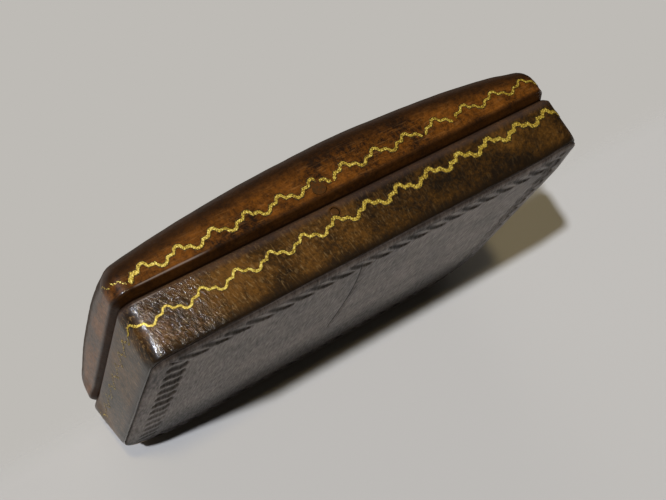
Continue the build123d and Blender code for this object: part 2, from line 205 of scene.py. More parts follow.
class Finishes(bpy.types.PropertyGroup):
    """Colours"""

    base_leather: colour("Base leather", "Polished calf on the base's sides", "#3c260a")
    base_worn: colour("Base worn", "Where the base's dye is thin", "#664318")
    # Also used for the painted shadow in the closing line's gap
    base_dark: colour("Base dark", "Wax and dirt in the base's creases", "#180f06")
    # Also brightens the base towards its left end as a painted sheen
    base_scuffed: colour("Base scuffed", "Scratches in the base's polish", "#96784c")
    lid_leather: colour("Lid leather", "Polished calf on the lid", "#4f2c08")
    lid_worn: colour("Lid worn", "Where the lid's dye is thin", "#724212")
    # Also used for the painted shadow in the closing line's gap
    lid_dark: colour("Lid dark", "Wax and dirt on the lid", "#1e1006")
    lid_scuffed: colour("Lid scuffed", "Scratches in the lid's polish", "#906233")
    groove_tint: colour("Groove tint", "Unpolished leather along the groove", "#3d2f29")
    # A painted highlight: pale where a rim's edge catches the light
    rim: colour("Rim", "Polish on the leather's rubbed rims", "#a39488")
    panel_leather: colour("Panel leather", "Calf on the underside", "#3c3029")
    panel_worn: colour("Panel worn", "Where the underside is rubbed", "#564941")
    panel_dark: colour("Panel dark", "Dirt in the underside's marks", "#15100c")
    gold: colour("Gold", "Gold leaf", "#c4a636")
    gold_bright: colour("Gold bright", "Grains of the gold leaf that stand out", "#f3e07a")
    gold_deep: colour("Gold deep", "Where the gold leaf is thin", "#7a5e16")
    gold_pressed: colour("Gold pressed", "Burnt leather at the gold's pressed edges", "#33260c")
    wood: colour("Wood", "Limewood boards", "#b08a5a")
    wood_grain: colour("Wood grain", "Their darker grain", "#7d5a33")
    strip: colour("Strip", "Pearwood strips", "#8a5636")
    strip_grain: colour("Strip grain", "Their darker grain", "#5c3420")
    paper: colour("Paper", "Aged rag paper", "#b9a27a")
    paper_stain: colour("Paper stain", "Snuff stains on the paper", "#94764c")
    brass: colour("Brass", "Rolled brass", "#b5904c")
    brass_dark: colour("Brass dark", "Brown tarnish", "#5a3f20")
    browned: colour("Browned brass", "Brass under wax and dirt", "#5a3716")
    steel: colour("Steel", "Blued spring steel", "#3f4652")
    backdrop: colour("Backdrop", "Background", "#bebbb6")
    sheet: colour("Sheet", "Sheet behind the box, which the lamps light", "#b8b5b0")
    floor: colour("Floor", "Floor under the box", "#b4b5b8")


class Stage(bpy.types.PropertyGroup):
    """The lights and the camera"""

    key: strength("Key light", "Strength of the small lamp in front", 3.47)
    fill: strength("Fill light", "Strength of the warm lamp beside it", 0.7)
    overhead: strength("Overhead light", "Strength of the lamp above", 2.0)
    room: strength("Room light", "Strength of the light from above and behind", 1.3)
    lens: FloatProperty(name="Lens", description="Focal length", default=56.788, unit="CAMERA")


def four(values):
    """A colour property as a socket's four numbers."""
    return (*values, 1.0)


def add_node(tree, kind, inputs=(), stops=(), out=None, **settings):
    """Adds a shader node: its settings, its inputs' values or links in order or by name, and a ramp's stops.

    Returns the output of that name, or else the first one in use.
    """
    node = tree.nodes.new("ShaderNode" + kind)
    for name, value in settings.items():
        setattr(node, name, value)
    for name, value in inputs.items() if isinstance(inputs, dict) else enumerate(inputs):
        if isinstance(value, bpy.types.NodeSocket):
            tree.links.new(value, node.inputs[name])
        else:
            node.inputs[name].default_value = value
    if stops:
        elements = node.color_ramp.elements
        while len(elements) < len(stops):
            elements.new(1)
        for element, (place, shade) in zip(elements, stops):
            element.position = place
            element.color = four([shade] * 3 if isinstance(shade, float) else shade)
    return node.outputs[out] if out else next((socket for socket in node.outputs if socket.enabled), None)


def new_material(name):
    """An empty node material, and the function that adds nodes to it."""
    material = bpy.data.materials.new(name)
    material.use_nodes = True
    material.node_tree.nodes.clear()
    return material, partial(add_node, material.node_tree)


def dress(target, material):
    """Gives a piece or a node this one material."""
    target.data.materials.clear()
    target.data.materials.append(material)


def dress_nodes(names, material):
    """Gives the model's nodes of these names one material."""
    for name in names:
        dress(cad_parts[name], material)


def switch(mode):
    """Goes to edit mode or to object mode."""
    bpy.ops.object.mode_set(mode=mode)


def deselect():
    """Leaves nothing selected, in object mode."""
    if bpy.context.object and bpy.context.object.mode != "OBJECT":
        switch("OBJECT")
    for chosen in list(bpy.context.selected_objects):
        chosen.select_set(False)


def activate(piece):
    """Leaves only this piece selected and active, in object mode."""
    deselect()
    piece.select_set(True)
    bpy.context.view_layer.objects.active = piece


def pick(piece, kind, test):
    """Selects a piece's vertices or edges by their places, or its faces by middle and normal, in edit mode."""
    switch("OBJECT")
    mesh = piece.data
    for group in (mesh.vertices, mesh.edges, mesh.polygons):
        group.foreach_set("select", [False] * len(group))
    points = [v.co for v in mesh.vertices]
    if kind == "VERT":
        for vertex in mesh.vertices:
            vertex.select = test(vertex.co)
    elif kind == "EDGE":
        for edge in mesh.edges:
            edge.select = all(test(points[i]) for i in edge.vertices)
    else:
        for face in mesh.polygons:
            face.select = test(face.center, face.normal)
    switch("EDIT")
    bpy.ops.mesh.select_mode(type=kind)


def blank(name, height, sizes):
    """A flat blank with the box's outline and its four rounded corners, left in edit mode."""
    deselect()
    bpy.ops.mesh.primitive_plane_add(size=1, location=(0, 0, height))
    piece = bpy.context.object
    piece.name = piece.data.name = name
    bpy.ops.object.transform_apply(location=True, rotation=True, scale=True)
    switch("EDIT")
    bpy.ops.mesh.select_all(action="SELECT")
    bpy.ops.transform.resize(value=(2 * HALF_LENGTH, 2 * HALF_WIDTH, 1), center_override=(0, 0, height))
    for way, radius, segments in ((-1, sizes.front_corner, 8), (1, sizes.back_corner, 20)):
        pick(piece, "VERT", lambda p: p.y * way > 0 and abs(p.x) > HALF_LENGTH - MM / 10)
        bpy.ops.mesh.bevel(offset=radius, segments=segments, affect="VERTICES")
    return piece


def raise_walls(height):
    """Raises the blank that is being edited to a form of even height."""
    bpy.ops.mesh.select_all(action="SELECT")
    bpy.ops.mesh.extrude_region_move(TRANSFORM_OT_translate={"value": (0, 0, height)})
    bpy.ops.mesh.select_all(action="SELECT")
    bpy.ops.mesh.normals_make_consistent(inside=False)


def turn_edge(piece, height, offset, segments):
    """Bevels the edges that run round a form at one height."""
    pick(piece, "EDGE", lambda p: abs(p.z - height) < MM / 50)
    bpy.ops.mesh.bevel(offset=offset, segments=segments, affect="EDGES", clamp_overlap=False)


def open_end(piece, height, inset):
    """Leaves a flat rim of that width at one end of a form, and opens the rest."""
    pick(piece, "FACE", lambda p, n: abs(p.z - height) < MM / 1000 and abs(n.z) > 0.999)
    if inset:
        bpy.ops.mesh.inset(thickness=inset, use_even_offset=True)
    bpy.ops.mesh.delete(type="FACE")


def give_thickness(piece, thickness):
    """Turns the open form into a closed shell, grown inwards."""
    switch("OBJECT")
    shell = piece.modifiers.new("Leather", "SOLIDIFY")
    shell.thickness = thickness
    shell.offset = -1
    shell.use_even_offset = True
    bpy.ops.object.modifier_apply(modifier=shell.name)


def cut_away(piece, cutters):
    """Cuts the cutters out of a piece and removes them."""
    activate(piece)
    for cutter in cutters:
        cut = piece.modifiers.new("Cut", "BOOLEAN")
        cut.object = cutter
        cut.operation = "DIFFERENCE"
        cut.solver = "EXACT"
        bpy.ops.object.modifier_apply(modifier=cut.name)
        bpy.data.objects.remove(cutter)


def box_cutter(low, high):
    """A block to cut with."""
    deselect()
    bpy.ops.mesh.primitive_cube_add(size=1, location=(low + high) / 2)
    bpy.context.object.scale = high - low
    bpy.ops.object.transform_apply(location=True, rotation=True, scale=True)
    return bpy.context.object


def round_cutter(centre, radius, depth, axis):
    """A round bar to cut with, along an axis."""
    deselect()
    turn = (0, pi / 2, 0) if axis == "X" else (pi / 2, 0, 0)
    bpy.ops.mesh.primitive_cylinder_add(vertices=48, radius=radius, depth=depth, location=centre, rotation=turn)
    bpy.ops.object.transform_apply(location=True, rotation=True, scale=True)
    return bpy.context.object


def front_hole(low, high):
    """What a round piece takes out of a cover's front."""
    middle = (low + high) / 2
    return round_cutter(Vector((middle.x, -HALF_WIDTH, middle.z)), (high.x - low.x) / 2, HOLE_DEPTH, "Y")


def hinge_cutters(leaf_low, leaf_high):
    """What the hinge takes out of a cover: its leaf's bed and the room for its barrel."""
    axis = (PIN_LOW + PIN_HIGH) / 2
    bed_low = Vector((leaf_low.x - LEAF_ROOM, leaf_low.y, leaf_low.z))
    bed_high = Vector((leaf_high.x + LEAF_ROOM, axis.y, leaf_high.z))
    run = LEAF_HIGH.x - LEAF_LOW.x + 2 * LEAF_ROOM
    return [box_cutter(bed_low, bed_high), round_cutter(axis, BARREL_RADIUS + BARREL_ROOM, run, "X")]


def net(cell, levels):
    """Cuts the faces that are being edited into a fine even net, so that the surface can be worked."""
    switch("EDIT")
    for axis, half in ((0, HALF_LENGTH), (1, HALF_WIDTH)):
        count = round(2 * half / cell)
        direction = [0, 0, 0]
        direction[axis] = 1
        for k in range(1, count):
            place = [0, 0, 0]
            place[axis] = (2 * k / count - 1) * half
            bpy.ops.mesh.select_all(action="SELECT")
            bpy.ops.mesh.bisect(plane_co=place, plane_no=direction)
    for level in levels:
        bpy.ops.mesh.select_all(action="SELECT")
        bpy.ops.mesh.bisect(plane_co=(0, 0, level), plane_no=(0, 0, 1))


def points_of(mesh):
    """A mesh's points, as an array."""
    points = np.empty(len(mesh.vertices) * 3)
    mesh.vertices.foreach_get("co", points)
    return points.reshape(-1, 3)


def set_points(mesh, points):
    """Moves a mesh's points."""
    mesh.vertices.foreach_set("co", np.ascontiguousarray(points, dtype=np.float64).ravel())
    mesh.update()


def step(value):
    """A smooth step from 0 to 1."""
    value = np.clip(value, 0, 1)
    return value * value * (3 - 2 * value)


def unevenness(point, sizes):
    """How far the leather stands out of true at a place. The rims stay true, so that they meet."""
    broad = noise.noise(Vector(point) / sizes.broad_wave) * sizes.broad_depth
    small = noise.noise(Vector(point) / sizes.small_wave + Vector((7, 3, 5))) * sizes.small_depth
    return (broad + small) * float(step((abs(point[2] - CLOSING) - TRUE_RIM) / TRUE_FADE))


def work_surface(piece, sizes):
    """Moves a cover's points in and out, as hand-laid leather lies on its boards."""
    switch("OBJECT")
    mesh = piece.data
    points = points_of(mesh)
    normals = np.empty(len(mesh.vertices) * 3)
    mesh.vertex_normals.foreach_get("vector", normals)
    normals = normals.reshape(-1, 3)
    middle = np.array([0, 0, CLOSING])
    outer = ((points - middle) * normals).sum(1) > 0
    moves = np.array([unevenness(p, sizes) if o else 0 for p, o in zip(points, outer)])
    set_points(mesh, points + normals * moves[:, None])


def finish_shading(piece, angle=0.6):
    """Shades a piece smooth, apart from its sharp edges."""
    activate(piece)
    bpy.ops.object.shade_smooth_by_angle(angle=angle)


def loop_place(along, loop):
    """The place and outward direction at a distance round a rounded rectangle, from the middle of its front."""
    left, right, front, back, front_radius, back_radius = loop
    middle = (left + right) / 2
    side = back - front - front_radius - back_radius
    runs = (
        ((middle, front), (1, 0), right - middle - front_radius),
        ((right - front_radius, front + front_radius), front_radius, -pi / 2),
        ((right, front + front_radius), (0, 1), side),
        ((right - back_radius, back - back_radius), back_radius, 0),
        ((right - back_radius, back), (-1, 0), right - left - 2 * back_radius),
        ((left + back_radius, back - back_radius), back_radius, pi / 2),
        ((left, back - back_radius), (0, -1), side),
        ((left + front_radius, front + front_radius), front_radius, pi),
        ((left + front_radius, front), (1, 0), middle - left - front_radius),
    )
    sizes = [run[2] if isinstance(run[1], tuple) else run[1] * pi / 2 for run in runs]
    along %= sum(sizes)
    for run, size in zip(runs, sizes):
        if along <= size:
            break
        along -= size
    (x, y), second, third = run
    if isinstance(second, tuple):
        dx, dy = second
        return x + dx * along, y + dy * along, dy, -dx
    angle = third + along / second
    return x + second * cos(angle), y + second * sin(angle), cos(angle), sin(angle)


def loop_length(loop):
    """The whole way round a rounded rectangle."""
    left, right, front, back, front_radius, back_radius = loop
    straight = 2 * (right - left + back - front) - 4 * (front_radius + back_radius)
    return straight + pi * (front_radius + back_radius)


def box_loop(sizes):
    """The box's own outline."""
    return (-HALF_LENGTH, HALF_LENGTH, -HALF_WIDTH, HALF_WIDTH, sizes.front_corner, sizes.back_corner)


def paint_attribute(mesh, name, values):
    """Gives each point of a mesh a value that its material reads."""
    attribute = mesh.attributes.new(name, "FLOAT", "POINT")
    attribute.data.foreach_set("value", np.asarray(values, np.float32))


def leather(name, look):
    """Vegetable-tanned calf, dyed and waxed by hand: deep colour under a thin gloss, with creases, rubbed places, and
    painted sheen, shadow and highlight.
    """
    material, put = new_material(name)
    place = put("TexCoord", out="Object")
    x, y, z = put("SeparateXYZ", (place,)).node.outputs
    lean = put("Math", (z, look["fan"], 1.0), operation="MULTIPLY_ADD")
    fan_x, fan_y = (put("Math", (value, lean), operation="MULTIPLY") for value in (x, y))
    fanned = put("CombineXYZ", (fan_x, fan_y, z))

    # Fine creases that run one way, and thin pale scratches beside them
    crease_place, scratch_place, crackle_place = (
        put("Mapping", {"Vector": fanned, "Scale": scale}) for scale in (look["crease"], look["scratch"], CRACKLE)
    )
    creases = put("TexNoise", {"Vector": crease_place, "Scale": 1.0, "Detail": 6.0, "Roughness": 0.6})
    scratches = put("TexNoise", {"Vector": scratch_place, "Scale": 1.0, "Detail": 2.0, "Distortion": 0.6})
    scratch = put("ValToRGB", (scratches,), [(0.55, 0.0), (0.78, 1.0)])

    # How thick the wax lies: it thickens towards one end, is smooth at its corner and thin on the end itself
    thick, short, front = (
        put("MapRange", (x, *run), interpolation_type="SMOOTHSTEP") for run in (look["wax"], WAX_CORNER, WAX_END)
    )

    # Soft patches of darker and of brighter dye, worn more towards one end, with fine mottling over them
    patches = put("TexNoise", {"Vector": place, "Scale": PATCHES, "Detail": 4.0})
    mottles = put("TexNoise", {"Vector": fanned, "Scale": MOTTLES, "Detail": 5.0, "Roughness": 0.75})
    wearing = put("MapRange", (x, *WEAR_RUN))
    worn = put("Math", (wearing, short), operation="MULTIPLY")
    spread = put("Math", (worn, look["spread"], -look["spread"] / 2), operation="MULTIPLY_ADD")
    along = put("Math", (patches, spread), operation="ADD")
    mottled = put("Math", (mottles, look["mottle"], along), operation="MULTIPLY_ADD")
    evened = put("Math", (mottled, look["mottle"] / 2), operation="SUBTRACT")
    shade = put("ValToRGB", (evened,), [(0.28, look["dark"]), (0.48, look["leather"]), (0.76, look["worn"])])

    # Dirt in creases, scratches (towards the left, painted sheen too), bands along the edges and painted rim highlights
    dirt = put("MapRange", (creases, 0.5, 0.34, 0.0, look["dirt"]))
    scratch_and_sheen_share = put("Math", (wearing, look["use"], 1 - look["use"]), operation="MULTIPLY_ADD")
    scratches_and_sheen = put("Math", (scratch, scratch_and_sheen_share), operation="MULTIPLY")
    rub = put("Math", (scratches_and_sheen, look["rub"]), operation="MULTIPLY")
    level, rubbed = (put("Attribute", out="Fac", attribute_name=what) for what in ("level", "rubbed"))
    layers = [(dirt, "dark"), (rub, "scuffed")]
    for low, high, amount, dye in look["bands"]:
        band = put("MapRange", (level, low, high, 0.0, amount), interpolation_type="SMOOTHSTEP")
        layers.append((band, dye))
    for share, dye in (*layers, (rubbed, "rim")):
        shade = put("Mix", {"Factor": share, "A": shade, "B": four(look[dye])}, data_type="RGBA")

    # The surface's relief: grain and creases, and crackled wax where it is thick, short of the corner
    grain = put("TexNoise", {"Vector": place, "Scale": GRAIN, "Detail": 3.0})
    crackle = put(
        "TexNoise", {"Vector": crackle_place, "Scale": 1.0, "Detail": 5.0, "Roughness": 0.62, "Distortion": 0.6}
    )
    crusted = put("Math", (thick, short), operation="MULTIPLY")
    waxed = put("Math", (crusted, look["crackle"], 0.05), operation="MULTIPLY_ADD")
    fine = put("Math", (creases, look["crease_height"], grain), operation="MULTIPLY_ADD")
    rough = put("Math", (short, 0.9, 0.1), operation="MULTIPLY_ADD")
    relief = put("Bump", {"Height": fine, "Strength": rough, "Distance": look["bump"]})
    crackled = put("Bump", {"Height": crackle, "Strength": waxed, "Distance": 0.34 * MM, "Normal": relief})
    gloss = put("MapRange", (creases, 0.3, 0.7, *look["gloss"]))

    # The polish ends at the groove, where nothing rubs the leather
    off_closing = put("Math", (z, CLOSING), operation="SUBTRACT")
    height = put("Math", (off_closing,), operation="ABSOLUTE")
    polish = put("MapRange", (height, look["groove"], look["groove"] * 1.25))
    layer = put("Math", (thick, front), operation="MULTIPLY")
    thickness = put("Math", (layer, 1 - look["coat"], look["coat"]), operation="MULTIPLY_ADD")
    coat = put("Math", (polish, thickness), operation="MULTIPLY")
    shine = put("Math", (polish, 0.1, 0.04), operation="MULTIPLY_ADD")
    skin = {"Base Color": shade, "Roughness": gloss, "IOR": 1.5, "Specular IOR Level": shine, "Normal": crackled}
    wax = {"Coat Weight": coat, "Coat Roughness": 0.14, "Coat Normal": crackled}
    put("OutputMaterial", (put("BsdfPrincipled", {**skin, **wax}),))
    return material


class SNUFFBOX_OT_panel(bpy.types.Operator):
    """Make the tooled leather panel on the underside"""

    bl_idname = "snuffbox.panel"
    bl_label = "Underside Panel"

    def execute(self, context):
        sizes = context.scene.snuffbox_covers
        low, high = PANEL_LOW.z, PANEL_HIGH.z
        piece = blank("underside_panel", low, sizes)
        raise_walls(high - low)
        turn_edge(piece, low, sizes.panel_edge, 5)
        turn_edge(piece, high, sizes.joint_edge, 2)
        half_way = (low + high) / 2
        pick(piece, "FACE", lambda p, n: p.z > half_way)
        bpy.ops.mesh.hide(unselected=False)
        net(sizes.panel_cell, ())
        bpy.ops.mesh.reveal(select=False)
        switch("OBJECT")
        self.tool(piece, sizes, context.scene.snuffbox_tooling)
        finish_shading(piece)
        dress(piece, panel_leather(context.scene.snuffbox_finishes))
        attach(piece, "base")
        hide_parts("base_bottom_leather")
        return {"FINISHED"}

    def tool(self, piece, sizes, tooling):
        """Presses the rope border and the crack into the panel, and rubs its edge down."""
        mesh = piece.data
        points = points_of(mesh)
        y = points[:, 1]
        flat = points[:, 2] < PANEL_LOW.z + FLAT_HEIGHT
        depth, soil_and_shade = rope_border(points, tooling)
        marks = np.where(flat, depth, 0)
        beside = (points[:, 0] - crack_line(y)) / tooling.crack_width
        ends = step((CRACK_BACK - y) / CRACK_BACK_FADE) * step((y + CRACK_FRONT) / CRACK_FRONT_FADE)
        crack = np.where(flat, np.exp(-(beside**2)) * ends, 0)
        lift = np.maximum(marks * tooling.strand_depth, crack * tooling.crack_depth)
        inset, way_out = from_edge(points, sizes)
        rubbed = np.clip(1 - inset / sizes.panel_edge_reach, 0, 1) ** 2
        lift += rubbed * sizes.panel_edge_fall * (1 - points[:, 2] / PANEL_HIGH.z)
        points[:, :2] -= way_out * (rubbed * sizes.panel_edge_inset)[:, None]
        points[:, 2] += lift
        set_points(mesh, settled(points, sizes))
        joint = step((points[:, 2] - lift - FLAT_HEIGHT) / JOINT_RISE)
        paint_attribute(mesh, "mark", np.maximum(np.where(flat, soil_and_shade, 0), joint))
        # Painted shade: the underside is made darker towards its back edge
        paint_attribute(mesh, "grime", step((points[:, 1] - BACK_SHADE_START) / BACK_SHADE_RISE))
        paint_attribute(mesh, "crack_side", beside)
        paint_attribute(mesh, "crack_reach", np.where(flat, ends, 0))


def rope_border(points, tooling):
    """How deep the rope border is on the panel, and its dirt and painted shade: rows of S-shaped strands between
    ridges.
    """
    x, y = points[:, 0], points[:, 1]
    # Each side: places across and along it, which way it runs, its strands' start, slant and swing, how much it is
    # worn towards the back, and how sharply its dirt and painted shade gather
    sides = (
        (x - tooling.rope_left, y, -1, 2.4 * MM, 0.12, 0.5 * MM, 0.5, 1),
        (tooling.rope_right - x, y, 1, 1.1 * MM, 0.12, 0.5 * MM, 0.5, 1),
        (y - tooling.rope_front, x, 1, 0.65 * MM, 1.0, 0.0, 0.0, 2),
        (tooling.rope_back - y, -x, 1, 0.0, 1.0, 0.0, 0.0, 1),
    )
    nearest = np.stack([side[0] for side in sides]).argmin(0)
    depth, soil_and_shade = np.zeros(len(points)), np.zeros(len(points))
    for k, (across, along, way, start, slant, swing, worn, sharp) in enumerate(sides):
        u = np.clip(across / tooling.rope_width, -1, 1)
        curve = tooling.strand_reach * slant * (0.8 * u + 0.4 / pi * np.arcsin(u)) + swing * np.sin(pi * u)
        phase = (way * (along - curve) - start) / tooling.rope_pitch % 1
        room = STRAND_HALF * (1 - np.abs(u) ** 5) - np.abs(phase - 0.5)
        fade = 1 - worn * step((y + ROPE_WEAR_START) / ROPE_WEAR_RUN)
        lobe = step(room / STRAND_EDGE) * fade
        deep = lobe * (0.75 + 0.25 * np.cos(2 * pi * (phase - STRAND_DEEPEST)))
        # Dirt in the strand's hollow, with painted shade on the side of it away from the light
        dirt = lobe * (0.5 + 0.5 * np.cos(2 * pi * (phase - STRAND_DARKEST))) ** sharp
        depth = np.where(nearest == k, deep, depth)
        soil_and_shade = np.where(nearest == k, dirt, soil_and_shade)
    return depth, soil_and_shade


def from_edge(points, sizes):
    """How far places lie inside the box's outline, and the way out from there."""
    radius = np.where(points[:, 1] < 0, sizes.front_corner, sizes.back_corner)
    out_x = np.abs(points[:, 0]) - (HALF_LENGTH - radius)
    out_y = np.abs(points[:, 1]) - (HALF_WIDTH - radius)
    corner = (out_x > 0) & (out_y > 0)
    way_x = np.where(corner, out_x, out_x >= out_y) * np.sign(points[:, 0])
    way_y = np.where(corner, out_y, out_x < out_y) * np.sign(points[:, 1])
    size = np.maximum(np.hypot(way_x, way_y), 1e-9)
    inset = radius - np.where(corner, np.hypot(out_x, out_y), np.maximum(out_x, out_y))
    return inset, np.stack((way_x / size, way_y / size), 1)


# Where handling has moved the leather: a place, how far the change reaches, and the way that it has moved there
SETTLED = (
    ((44.3, -29.7, 0.0), 11.0, (-0.2, 0.05, 0.5)),
    ((-41.5, 27.3, 0.0), 13.0, (0.35, 0.0, 0.55)),
    ((-43.5, 26.0, 11.2), 11.0, (-1.2, 0.0, 0.0)),
    ((44.0, -27.0, 21.5), 8.0, (-0.3, 0.1, -0.4)),
)


def settled(points, sizes):
    """Points of the covers, moved where handling has rounded or spread the box. The turned-in rims stay."""
    moved = points.copy()
    inset, way_out = from_edge(points, sizes)
    outer = 1 - step((inset / MM - OUTER_LEATHER) / OUTER_FADE)
    roll = np.clip(1 - points[:, 2] / sizes.foot_height, 0, 1) ** 2 * sizes.foot_roll * outer
    moved[:, :2] -= way_out * roll[:, None]
    for place, reach, way in SETTLED:
        far = np.linalg.norm(points / MM - np.array(place), axis=1) / reach
        share = np.clip(1 - far**2, 0, 1) ** 2
        if abs(place[2] - CLOSING / MM) < 1:
            share = share * outer
        moved += share[:, None] * np.array(way) * MM
    return moved


def crack_line(y):
    """Where the crack in the panel runs, for each distance from front to back."""
    share = np.clip((CRACK_START - y) / CRACK_RUN, 0, 1.2)
    return (-1.1 - 0.5 * share - 3.2 * share**2.6) * MM


def panel_leather(finishes):
    """Calf on the underside: less waxed than the sides, with a close grain, dark marks of dirt and painted shade,
    painted shade towards its back edge, and one crack.
    """
    material, put = new_material("underside_calf")
    place = put("TexCoord", out="Object")
    stretched = put("Mapping", {"Vector": place, "Rotation": (0, 0, PANEL_TURN), "Scale": PANEL_GRAIN})
    grain = put("TexNoise", {"Vector": stretched, "Scale": 1.0, "Detail": 4.0, "Roughness": 0.6})
    blotches = put("TexNoise", {"Vector": place, "Scale": BLOTCHES, "Detail": 6.0, "Roughness": 0.6})
    mottle = put("Math", (blotches, 0.7, grain), operation="MULTIPLY_ADD")
    broad = put("Math", (grain, 0.3, blotches), operation="MULTIPLY_ADD")
    tones = [(0.55, finishes.panel_dark), (0.8, finishes.panel_leather), (1.0, finishes.panel_worn)]
    shade = put("ValToRGB", (mottle,), tones)
    names = ("mark", "crack_side", "crack_reach", "grime")
    mark, beside, reach, grime = (put("Attribute", out="Fac", attribute_name=name) for name in names)
    near = put("Math", (beside,), operation="ABSOLUTE")
    line = put("MapRange", (near, 0.2, 0.65, 1.0, 0.0), interpolation_type="SMOOTHSTEP")
    crack = put("Math", (line, reach), operation="MULTIPLY")
    soiled_and_shaded = put("Math", (mark, crack), operation="MAXIMUM", use_clamp=True)
    soil_and_shade = put("Math", (soiled_and_shaded, 0.7), operation="MULTIPLY")
    # Painted shade towards the back edge: darker colour, and less shine there
    back_shading = put("Math", (grime, 0.85), operation="MULTIPLY")
    darkened = put("Math", (soil_and_shade, back_shading), operation="MAXIMUM")
    shade = put("Mix", {"Factor": darkened, "A": shade, "B": four(finishes.panel_dark)}, data_type="RGBA")
    sheen = put("MapRange", (broad, 0.5, 0.8, 0.3, 0.58))
    polished = put("Math", (grime, -0.75, 1.0), operation="MULTIPLY_ADD")
    shine = put("Math", (sheen, polished), operation="MULTIPLY")
    gloss = put("MapRange", (grain, 0.3, 0.7, 0.56, 0.38))
    worn_gloss = put("Math", (soiled_and_shaded, 0.3, gloss), operation="MULTIPLY_ADD")
    bump = put("Bump", {"Height": grain, "Strength": 1.0, "Distance": 0.04 * MM})
    skin = {"Base Color": shade, "Roughness": worn_gloss, "IOR": 1.5, "Normal": bump}
    wax = {"Specular IOR Level": shine, "Specular Tint": (1.0, 0.92, 0.84, 1.0)}
    put("OutputMaterial", (put("BsdfPrincipled", {**skin, **wax}),))
    return material


class SNUFFBOX_OT_base_cover(bpy.types.Operator):
    """Make the leather round the base's sides, turned in over its rim"""

    bl_idname = "snuffbox.base_cover"
    bl_label = "Base Cover"

    def execute(self, context):
        sizes = context.scene.snuffbox_covers
        low, high = BASE_LOW.z, BASE_HIGH.z
        bevel = high - sizes.base_bevel
        piece = blank("base_cover", low, sizes)
        raise_walls(high - low)
        turn_edge(piece, high, sizes.base_bevel, 1)
        open_end(piece, high, sizes.thickness + TURNED_IN)
        open_end(piece, low, 0)
        give_thickness(piece, sizes.thickness)
        turn_edge(piece, bevel, sizes.edge_turn, 3)
        turn_edge(piece, high, sizes.edge_turn, 2)
        turn_edge(piece, low, sizes.joint_edge, 3)
        hole = front_hole(BUSH_LOW, BUSH_HIGH)
        cut_away(piece, hinge_cutters(LEAF_LOW, Vector((LEAF_HIGH.x, LEAF_HIGH.y, high + MM))) + [hole])
        net(sizes.cell, np.arange(low + sizes.side_cell, bevel, sizes.side_cell))
        work_surface(piece, sizes)
        paint_level_and_highlight(piece.data, bevel, -43.4, -36.0)
        finish_cover(piece, sizes, leather("base_calf", base_look(context.scene.snuffbox_finishes)))
        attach(piece, "base")
        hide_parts("base_side_leather")
        return {"FINISHED"}


def paint_level_and_highlight(mesh, height, first, last):
    """Notes each point's height, and paints a highlight along a front rim: at a height, between places in millimetres.
    """
    points = points_of(mesh)
    run = step((points[:, 0] / MM - first) / RIM_HIGHLIGHT_START) * step((last - points[:, 0] / MM) / RIM_HIGHLIGHT_END)
    # A painted highlight along the rim's edge
    rubbed = np.exp(-(((points[:, 2] - height) / RIM_HIGHLIGHT_WIDTH) ** 2)) * run * (points[:, 1] < 2 * MM - HALF_WIDTH)
    paint_attribute(mesh, "level", points[:, 2])
    paint_attribute(mesh, "rubbed", rubbed * RIM_HIGHLIGHT_SHARE)


def finish_cover(piece, sizes, material):
    """Settles a cover where handling has moved it, and gives it its shading and its leather."""
    set_points(piece.data, settled(points_of(piece.data), sizes))
    finish_shading(piece)
    dress(piece, material)


def dyes(finishes, cover):
    """The colours of one cover's leather."""
    own = {part: getattr(finishes, f"{cover}_{part}") for part in ("leather", "worn", "dark", "scuffed")}
    return {**own, "groove_tint": finishes.groove_tint, "rim": finishes.rim}


def per_metre(*sizes):
    """How many patches of these sizes in millimetres, along X, Y and Z, go in a metre."""
    return [1 / (size * MM) for size in sizes]


def base_look(finishes):
    """The base's leather: brown, with upright creases that fan out from the middle, and crackled wax at the left."""
    return {
        **dyes(finishes, "base"),
        "fan": -9.0,
        "crease": per_metre(0.45, 0.45, 2.6),
        "scratch": per_metre(0.3, 0.3, 4.5),
        "rub": 0.64,
        "use": 0.85,
        "dirt": 0.4,
        "crease_height": 2.2,
        "bump": 0.022 * MM,
        "gloss": (0.5, 0.38),
        "groove": 0.8 * MM,
        "coat": 0.33,
        "wax": (-25 * MM, -38 * MM),
        "crackle": 0.9,
        "spread": 0.18,
        "mottle": 0.9,
        "bands": (
            (2.9 * MM, 1.1 * MM, 0.93, "dark"),
            (CLOSING - 2.2 * MM, CLOSING - 1.0 * MM, 0.6, "groove_tint"),
            # The closing line: painted shadow in its gap, over some dirt
            (CLOSING - 0.35 * MM, CLOSING - 0.2 * MM, 1.0, "dark"),
        ),
    }


def lid_look(finishes):
    """The lid's leather: redder and smoother, rubbed along its length, and dark at its lower and upper edges."""
    return {
        **dyes(finishes, "lid"),
        "fan": 0.0,
        "crease": per_metre(0.9, 0.9, 0.6),
        "scratch": per_metre(2.4, 2.4, 0.25),
        "rub": 0.4,
        "use": 0.0,
        "dirt": 0.2,
        "crease_height": 1.2,
        "bump": 0.032 * MM,
        "gloss": (0.48, 0.36),
        "groove": 1.05 * MM,
        "coat": 0.36,
        "wax": (1.0, 2.0),
        "crackle": 0.0,
        "spread": 0.0,
        "mottle": 1.2,
        "bands": (
            (19.0 * MM, 22.6 * MM, 0.92, "dark"),
            (13.7 * MM, 12.2 * MM, 0.85, "dark"),
            # The closing line: painted shadow in its gap, over some dirt
            (CLOSING + 0.35 * MM, CLOSING + 0.2 * MM, 1.0, "dark"),
        ),
    }


